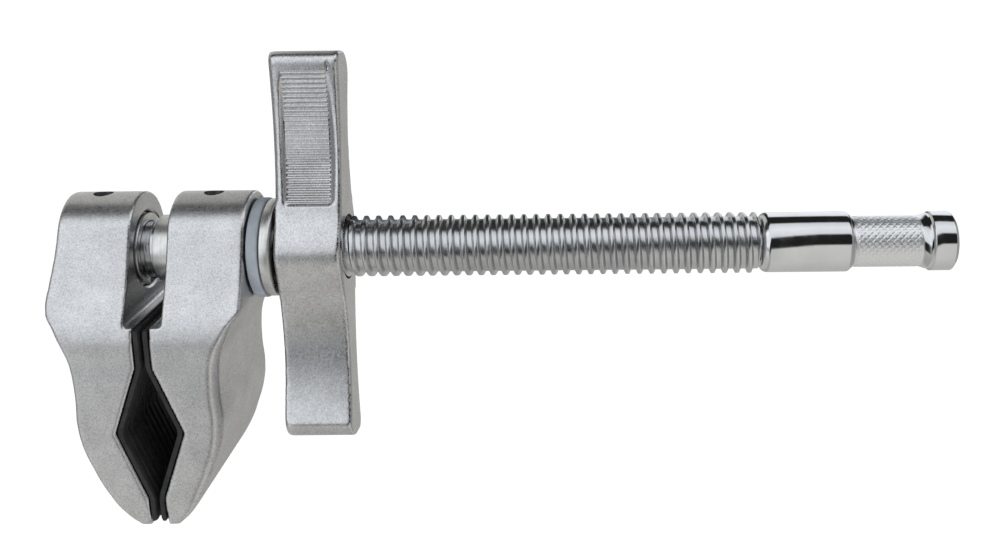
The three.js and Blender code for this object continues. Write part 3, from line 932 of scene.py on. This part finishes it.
def rib_comb():
    """The ribs on the floor of the panel in the front of the upper wing."""
    steps_per_rib = 8
    steps = RIBS["count"] * steps_per_rib
    top, bottom = SCOOP["top"] - 0.6, SCOOP["bottom"] + 0.4
    sunk = 0.06  # how far the grooves lie under the panel's floor
    root = 1.5  # how far the comb reaches into the casting
    outline = []
    for i in range(steps + 1):
        z = bottom + (top - bottom) * i / steps
        swell = (0.5 - 0.5 * math.cos(2 * math.pi * i / steps_per_rib)) ** 0.8
        outline.append((-scoop_floor(z) - RIBS["height"] * swell + sunk, z))
    outline += [(-scoop_floor(top) + root, top), (-scoop_floor(bottom) + root, bottom)]
    half = RIBS["width"] / 2
    return prism("ribs", outline, HANDLE_MIDDLE - half, HANDLE_MIDDLE + half)


def turned_over(piece):
    """The piece turned half round about the screw."""
    piece.data.transform(Matrix.Rotation(math.pi, 4, "X"))
    return piece


def pit_cutter():
    """The cutter for a small oval pit in the front face, near the upper wing's tip."""
    half_outline = [(x, PIT["slimness"] * r) for x, r in arc(0, 0, PIT["half_length"], 180, 0, 12)]
    pit = turned("pit", half_outline, 24)
    place = Matrix.Translation((PIT["x"], PIT["y"], PIT["z"]))
    pit.data.transform(place @ Matrix.Rotation(math.pi / 2, 4, "Y"))
    return pit


def handle():
    casting = handle_blank()
    cut(casting, scoop_cutter(), turned_over(scoop_cutter()), dish_cutter(), turned_over(dish_cutter()))
    softened(casting, voxel=0.36, rounds=9)
    join(casting, rib_comb(), turned_over(rib_comb()))
    left, right = HANDLE["left"], HANDLE["right"]
    cut(
        casting,
        pit_cutter(),
        cylinder_x(left - 2, right - HANDLE["lip"], NUT_RADIUS + CLEARANCE),
        cylinder_x(left - 2, right + 2, HANDLE["lip_bore"]),
    )
    casting.data.transform(Matrix.Rotation(HANDLE_ANGLE, 4, "X"))
    finish_piece(
        casting, "handle_casting", ["handle"], "handle_body", HANDLE_CASTING, 40
    )


def handle_nut():
    """The threaded bush in the handle's hub."""
    left, right = (corner[0] for corner in box("handle_nut"))
    left += 0.5
    cone = CREST_RADIUS + 0.9
    nut = cut(
        rounded_cylinder("nut", left, right, NUT_RADIUS, 0.3),
        thread(left - 1, right + 1, 0.22),
        turned("entry", [(right - 1, 0), (right - 1, cone - 1), (right + 1, cone + 1), (right + 1, 0)]),
        turned("exit", [(left - 1, 0), (left - 1, cone + 1), (left + 1, cone - 1), (left + 1, 0)]),
    )
    for node in ("handle_nut_key_upper", "handle_nut_key_lower"):
        low, high = box(node)
        hole = cylinder_x(left - 2, high[0] + CLEARANCE, key_radius(node) + CLEARANCE, 32)
        hole.data.transform(key_place(node))
        cut(nut, hole)
    finish_piece(nut, "threaded_bush", ["handle_nut"], "handle_body", BRONZE, 40)


def key_radius(node):
    low, high = box(node)
    return (high[2] - low[2]) / 2


def key_place(node):
    """Moves a piece from the screw's axis to the axis of one of the nut's keys."""
    low, high = box(node)
    return Matrix.Translation((0, (low[1] + high[1]) / 2, (low[2] + high[2]) / 2))


def nut_key(node, name):
    low, high = box(node)
    pin = rounded_cylinder(name, low[0], high[0], key_radius(node), 0.2, 32)
    pin.data.transform(key_place(node))
    finish_piece(pin, name, [node], "handle_body", STEEL)


# ---- the pieces ----
threaded_rod()
mounting_pin()
fixed_jaw()
moving_jaw()
lining(-1, "fixed_lining", "fixed_jaw_pad", "screw_body")
lining(1, "moving_lining", "moving_jaw_pad", "jaw_body")
ring_piece("fixed_bush", "fixed_jaw_bush", "screw_body", STEEL)
ring_piece("moving_bush", "moving_jaw_bush", "jaw_body", STEEL, 0.2)
ring_piece("end_washer", "rod_end_washer", "screw_body", STEEL, 0.2)
ring_piece("nylon_washer", "thrust_washer", "jaw_body", NYLON, 0.45)
ring_piece("collar", "hub_collar", "handle_body", STEEL, 0.35)
split_ring("shoulder_ring", "rod_shoulder_ring", STEEL)
split_ring("end_ring", "rod_end_ring", DARK_STEEL)
roll_pin()
key_screw()
handle()
handle_nut()
nut_key("handle_nut_key_upper", "upper_key")
nut_key("handle_nut_key_lower", "lower_key")


# ---- stage ----
def floor():
    """A plain pale floor well below the clamp, which hangs by what it grips."""
    height = -0.30
    reach = 6
    corners = [(x * reach, y * reach, height) for x, y in ((-1, -1), (1, -1), (1, 1), (-1, 1))]
    made = make_object("floor", corners, [(0, 1, 2, 3)])
    s = Shader("pale_floor", gray(0.86), 0.0, 0.9)
    s.color(s.ramp(s.noise(300), [(0.3, gray(0.87)), (0.7, gray(0.9))]))
    s.inputs["Emission Color"].default_value = (1, 1, 1, 1)
    s.inputs["Emission Strength"].default_value = 0.6
    made.data.materials.append(s.material)
    made.visible_glossy = False  # polished pieces mirror the studio's panels instead


# The studio is a sky of soft panels round the clamp. What a surface sees of it depends on the angle about
# the screw's axis, where 0 is level to the front, 90 overhead and 180 level to the back. Each stop of a
# table is (angle, colour). Long panels hang over the screw, with dark gaps between them, and they are set
# askew: to the left of the camera they reach lower than to its right.
COOL = (0.94, 0.97, 1.0)
WARM = (1.0, 0.99, 0.95)
BLACK = gray(0.02)
STUDIO_SPAN = (-180, 250)
STUDIO_PEAK = 1.5  # brighter than any stop


def cool(brightness):
    return tuple(brightness * channel for channel in COOL)


def warm(brightness):
    return tuple(brightness * channel for channel in WARM)


# A little to the right, for the mounting pin.
STUDIO_RIGHT = [
    (-180, warm(0.5)), (-120, warm(0.6)), (-60, warm(0.76)), (-1, warm(0.8)), (4, BLACK),
    (41, BLACK), (46, cool(1.0)), (70, cool(1.2)), (92, cool(0.95)), (97, BLACK),
    (129, BLACK), (136, cool(1.2)), (250, cool(1.25)),
]
# Straight across, for the screw. The sky behind it is dark.
STUDIO_MIDDLE = [
    (-180, warm(0.4)), (-120, warm(0.42)), (-40, warm(0.5)), (-1, warm(0.56)), (4, BLACK),
    (41, BLACK), (46, cool(1.0)), (70, cool(1.2)), (88, cool(0.95)), (93, BLACK),
    (160, BLACK), (185, cool(0.3)), (250, cool(0.3)),
]
# To the left, past the panels' end, for the jaws.
STUDIO_LEFT = [
    (-180, warm(0.5)), (-60, warm(0.66)), (-28, warm(0.88)), (-20, cool(0.62)), (-12, cool(0.56)),
    (0, cool(1.3)), (22, cool(1.14)), (58, cool(1.4)), (66, cool(0.8)), (73, warm(0.05)),
    (100, warm(0.05)), (112, warm(0.6)), (180, warm(0.75)),
]
# Along the screw's axis, by how far the view turns to the left or right, from -1 to 1.
STUDIO_SIDE = [(-1, gray(0.3)), (-0.6, gray(0.4)), (0.6, gray(0.42)), (1, gray(0.36))]

# The angle that the panels turn by, to the left and to the right, and how much of it is left overhead.
SKEW_SIDES = (-0.45, 0.22)
SKEW_ANGLES = (70, -3)
SKEW_FADE = ((1, 0.35), (30, 80))
# Where each table takes over, in the same turns to the left or right.
RIGHT_STARTS = (0.03, 0.13)
RIGHT_ENDS = (0.4, 0.6)
LEFT_STARTS = (-0.3, -0.16)
SIDE_STARTS = (0.72, 0.9)


def studio():
    world = bpy.data.worlds.new("studio")
    bpy.context.scene.world = world
    world.use_nodes = True
    w = NodeTree(world.node_tree)
    w.nodes.clear()
    split = w.node("ShaderNodeSeparateXYZ")
    w.links.new(w.node("ShaderNodeTexCoord").outputs["Generated"], split.inputs["Vector"])
    x, y, z = (split.outputs[axis] for axis in "XYZ")
    angle = w.math("DEGREES", w.math("ARCTAN2", z, w.math("MULTIPLY", y, -1)))
    skew = w.math("MULTIPLY", w.span(x, SKEW_ANGLES, SKEW_SIDES), w.span(angle, *SKEW_FADE))
    skewed = w.math("ADD", angle, skew)

    def panels(value, stops, source):
        """The colours of a table, whose stops are spread over the source range."""
        low, high = source
        spread = [
            ((position - low) / (high - low), tuple(channel / STUDIO_PEAK for channel in color))
            for position, color in stops
        ]
        return w.ramp(w.span(value, (0, 1), source), spread)

    def rises(value, source):
        return w.span(value, (0, 1), source, "SMOOTHSTEP")

    def falls(value, source):
        return w.span(value, (1, 0), source, "SMOOTHSTEP")

    across = w.mix(
        w.math("MULTIPLY", rises(x, RIGHT_STARTS), falls(x, RIGHT_ENDS)),
        panels(skewed, STUDIO_MIDDLE, STUDIO_SPAN),
        panels(skewed, STUDIO_RIGHT, STUDIO_SPAN),
    )
    across = w.mix(falls(x, LEFT_STARTS), across, panels(angle, STUDIO_LEFT, (-180, 180)))
    sky = w.mix(rises(w.math("ABSOLUTE", x), SIDE_STARTS), across, panels(x, STUDIO_SIDE, (-1, 1)))
    light = w.node("ShaderNodeBackground", Strength=STUDIO_PEAK)
    w.links.new(sky, light.inputs["Color"])
    white = w.node("ShaderNodeBackground", Color=(1, 1, 1, 1), Strength=1.0)
    choose = w.node("ShaderNodeMixShader")
    w.links.new(w.node("ShaderNodeLightPath").outputs["Is Camera Ray"], choose.inputs["Fac"])
    w.links.new(light.outputs["Background"], choose.inputs[1])
    w.links.new(white.outputs["Background"], choose.inputs[2])
    w.links.new(choose.outputs["Shader"], w.node("ShaderNodeOutputWorld").inputs["Surface"])


def camera():
    place = (-0.0944, -0.2757, 0.0859)
    pitch = 77
    roll = -0.54
    data = bpy.data.cameras.new("camera")
    data.sensor_width = 36
    data.lens = 39.6
    data.shift_x = -0.09
    data.shift_y = -0.115
    data.clip_start = 0.01
    data.dof.use_dof = False
    made = bpy.data.objects.new("camera", data)
    bpy.context.scene.collection.objects.link(made)
    made.matrix_world = (
        Matrix.Translation(place)
        @ Matrix.Rotation(math.radians(pitch), 4, "X")
        @ Matrix.Rotation(math.radians(roll), 4, "Z")
    )
    bpy.context.scene.camera = made


floor()
studio()
camera()
bpy.context.scene.view_settings.view_transform = "Standard"
